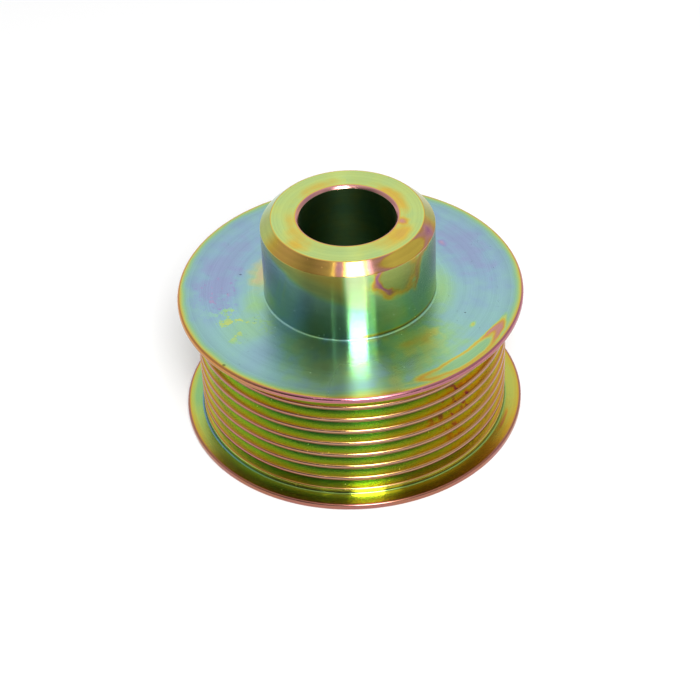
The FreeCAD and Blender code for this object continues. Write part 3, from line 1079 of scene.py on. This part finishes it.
def bore_edge_material():
    material, tree, place = start_material("plated_bore_edge")
    film = calc(tree, "MULTIPLY_ADD", clouds(tree, place, size=5.0, seed=4.9), 0.04, PINK)
    finish_material(tree, place, film, roughness=0.18, anisotropy=0.4)
    return material

def underside_material():
    material, tree, place = start_material("plated_underside")
    film = calc(tree, "MULTIPLY_ADD", clouds(tree, place, size=14.0, seed=2.8), 0.16, 0.42)
    edge = remap(tree, place["Radius"], RIM_RADIUS - 2.0, RIM_RADIUS)
    film = toward(tree, film, edge, COPPER + 0.01)
    finish_material(tree, place, film)
    return material

BORE = bore_material()
BORE_EDGE = bore_edge_material()
UNDERSIDE = underside_material()
print(BORE.name, BORE_EDGE.name, UNDERSIDE.name)

# %% [markdown]
# Handing out the materials
#
# The turned mesh is one piece, so each face gets its material from where it lies in the section.
# Most limits below lie a little beyond the corner that they name, to take in its rounding.

# %% give each face its material
ZONES = [FLANGE_FACE, HUB_TOP, HUB_BEVEL_MATERIAL, HUB_SIDE, EDGES, GROOVES, LOWER_FLANGE, BORE,
         BORE_EDGE, UNDERSIDE]

def zone_of(radius, height, up):
    """The material for a face, from its radius and height in mm and how far up it faces."""
    if radius < BORE_RADIUS + 0.04:
        return BORE
    if radius < BORE_RADIUS + BORE_BEVEL + 0.1:
        return BORE_EDGE
    if height > UPPER_FACE + FOOT_ROUND + 0.01:
        if radius > HUB_RADIUS - 0.02:
            return HUB_SIDE
        return HUB_TOP if up > 0.95 else HUB_BEVEL_MATERIAL
    if radius > RIM_RADIUS - 0.5:
        return EDGES
    if height > UPPER_FACE - 0.1:
        return FLANGE_FACE
    if radius > RIB_RADIUS - 0.4 and up < 0.9 and height > FIRST_GROOVE - 0.1:
        return EDGES
    if radius > RIB_RADIUS - 0.1 and height < FIRST_GROOVE:
        return LOWER_FLANGE if up > -0.5 else UNDERSIDE
    if radius > ROOT_RADIUS - 0.1 and height > LOWER_FACE:
        return GROOVES
    return UNDERSIDE

for material in ZONES:
    pulley.data.materials.append(material)
for face in pulley.data.polygons:
    centre = face.center / MM
    zone = zone_of(math.hypot(centre.x, centre.y), centre.z, face.normal.z)
    face.material_index = ZONES.index(zone)
print("faces per material:", [sum(face.material_index == index for face in pulley.data.polygons)
                              for index in range(len(ZONES))])

# %% [markdown]
# Floor and light
#
# Shiny metal shows its surroundings, so the light is arranged for what the metal reflects: a white
# backdrop behind, a dark room in front, and one softbox just to the right of the camera, whose
# reflection is the bright streak down the hub. A weaker strip beside it gives the green band, and
# a narrow slit on the left gives one thin line.
#
# The room is one background whose brightness is worked out from the direction. A ramp holds how
# bright it is all the way round. More light comes from overhead, and from low down at the sides
# and the back. The camera sees plain white instead, and so does a reflection of the upper back.

# %% the floor
FLOOR_SIZE = 4.0                        # metres
FLOOR_DROP = 0.05                       # mm below the pulley, so that the two faces don't flicker
FLOOR_GLOW = 0.15

def floor_material():
    material = bpy.data.materials.new("studio_paper")
    material.use_nodes = True
    tree = material.node_tree
    tree.nodes.clear()
    paper = tree.nodes.new("ShaderNodeBsdfDiffuse")
    paper.inputs["Color"].default_value = paint(236, 236, 236)
    glow = tree.nodes.new("ShaderNodeEmission")
    path = tree.nodes.new("ShaderNodeLightPath")
    seen = calc(tree, "MAXIMUM", path.outputs["Is Camera Ray"], path.outputs["Is Glossy Ray"])
    seen = calc(tree, "MAXIMUM", seen, path.outputs["Is Transmission Ray"])
    put(tree, glow.inputs["Strength"], calc(tree, "MULTIPLY", seen, FLOOR_GLOW))
    both = tree.nodes.new("ShaderNodeAddShader")
    put(tree, both.inputs[0], paper.outputs[0])
    put(tree, both.inputs[1], glow.outputs[0])
    result = tree.nodes.new("ShaderNodeOutputMaterial")
    put(tree, result.inputs["Surface"], both.outputs[0])
    return material

bpy.ops.object.select_all(action="DESELECT")
bpy.ops.mesh.primitive_plane_add(size=FLOOR_SIZE, location=(0, 0, -FLOOR_DROP * MM))
floor = bpy.context.object
floor.name = "studio_floor"
floor.data.materials.append(floor_material())
print("floor", FLOOR_SIZE, "m")

# %% the room
ROOM_LEVELS = [                         # azimuth in degrees, and how bright the room is there
    (-180, 1.0), (-150, 1.0), (-126, 0.62), (-108, 0.58), (-90, 0.54), (-72, 0.38), (-54, 0.14),
    (-35, 0.08), (18, 0.11), (40, 0.35), (65, 0.66), (90, 0.60), (126, 0.65), (150, 1.0), (180, 1.0),
]
OVERHEAD_LEVEL = 0.95
LOW_LEVEL = 0.9
HORIZON_SHARE = 0.6                     # how bright the room is low down, against higher up
WHITE = (1.0, 1.0, 1.0, 1.0)

def room_level(tree, azimuth, upward):
    """How bright the room is. Azimuth is in radians, and upward is 0 at eye level, 1 overhead."""
    round_room = tree.nodes.new("ShaderNodeValToRGB")
    stops = round_room.color_ramp.elements
    for degrees, level in ROOM_LEVELS[1:-1]:
        stops.new(degrees / 360 + 0.5).color = (level, level, level, 1.0)
    for stop in (stops[0], stops[len(stops) - 1]):
        stop.color = WHITE
    put(tree, round_room.inputs["Fac"], calc(tree, "MULTIPLY_ADD", azimuth, 1 / math.tau, 0.5))
    backdrop = product(tree, round_room.outputs["Color"],
                       remap(tree, upward, -0.1, 0.5, HORIZON_SHARE, 1.0))
    low_light = product(tree, remap(tree, upward, 0.45, 0.15),
                        remap(tree, calc(tree, "ABSOLUTE", azimuth), 0.9, 1.5), LOW_LEVEL)
    overhead = remap(tree, upward, 0.6, 0.92, 0.0, OVERHEAD_LEVEL)
    return calc(tree, "MAXIMUM", calc(tree, "MAXIMUM", backdrop, overhead), low_light)

def make_world():
    world = bpy.data.worlds.new("studio")
    world.use_nodes = True
    tree = world.node_tree
    tree.nodes.clear()
    direction = tree.nodes.new("ShaderNodeTexCoord")
    split = tree.nodes.new("ShaderNodeSeparateXYZ")
    tree.links.new(direction.outputs["Generated"], split.inputs[0])
    x, y, upward = split.outputs
    azimuth = calc(tree, "ARCTAN2", x, calc(tree, "MULTIPLY", y, -1.0))
    path = tree.nodes.new("ShaderNodeLightPath")
    behind = product(tree, remap(tree, y, 0.7, 0.78), remap(tree, upward, 0.4, 0.5))
    white_share = calc(tree, "MAXIMUM", path.outputs["Is Camera Ray"],
                       calc(tree, "MULTIPLY", path.outputs["Is Glossy Ray"], behind))
    white_share = calc(tree, "MAXIMUM", white_share, path.outputs["Is Transmission Ray"])
    room = tree.nodes.new("ShaderNodeBackground")
    put(tree, room.inputs["Strength"], room_level(tree, azimuth, upward))
    white = tree.nodes.new("ShaderNodeBackground")
    mix = tree.nodes.new("ShaderNodeMixShader")
    put(tree, mix.inputs["Fac"], white_share)
    put(tree, mix.inputs[1], room.outputs[0])
    put(tree, mix.inputs[2], white.outputs[0])
    for background in (room, white):
        background.inputs["Color"].default_value = WHITE
    result = tree.nodes.new("ShaderNodeOutputWorld")
    put(tree, result.inputs["Surface"], mix.outputs[0])
    return world

bpy.context.scene.world = make_world()
print("world", bpy.context.scene.world.name)

# %% the softboxes
LAMP_DISTANCE = 0.6                     # metres
LAMP_HEIGHT = 0.34
LAMP_ELEVATION = 45                     # degrees

def softbox(name, azimuth, width, brightness):
    """An area lamp that faces the pulley. Azimuth 0 is in front, and 90 to the right."""
    lamp = bpy.data.lights.new(name, "AREA")
    lamp.shape = "RECTANGLE"
    lamp.size = width
    lamp.size_y = LAMP_HEIGHT
    lamp.energy = brightness * math.pi * width * LAMP_HEIGHT
    holder = bpy.data.objects.new(name, lamp)
    bpy.context.scene.collection.objects.link(holder)
    azimuth = math.radians(azimuth)
    elevation = math.radians(LAMP_ELEVATION)
    away = (math.sin(azimuth) * math.cos(elevation), -math.cos(azimuth) * math.cos(elevation),
            math.sin(elevation))
    holder.location = [LAMP_DISTANCE * part for part in away]
    holder.rotation_euler = (math.pi / 2 - elevation, 0, azimuth)
    holder.visible_camera = False

LAMPS = [                               # name, azimuth in degrees, width in metres, brightness
    ("softbox_front", 8.5, 0.173, 16.5),
    ("strip_right", 26, 0.10, 2.1),
    ("slit_left", -24, 0.005, 8.0),
]
for lamp in LAMPS:
    softbox(*lamp)
print(len(LAMPS), "lamps")

# %% [markdown]
# The camera
#
# It looks down at the pulley from in front, at the distance and through the lens that make its
# rims and ribs curve as they do in the reference view.

# %% the camera
CAMERA_PLACE = (0.0, -386.08, 334.91)          # mm
CAMERA_TURN = (50.2406, 1.8026, -1.4065)       # degrees
CAMERA_LENS = 108.18                           # mm on a 36 mm sensor

lens = bpy.data.cameras.new("camera")
lens.lens = CAMERA_LENS
lens.sensor_width = 36.0
lens.clip_start = 0.01
lens.clip_end = 10.0
camera = bpy.data.objects.new("camera", lens)
bpy.context.scene.collection.objects.link(camera)
camera.location = [part * MM for part in CAMERA_PLACE]
camera.rotation_euler = [math.radians(part) for part in CAMERA_TURN]
bpy.context.scene.camera = camera
bpy.context.scene.view_settings.view_transform = "Standard"
print("camera at", tuple(camera.location))
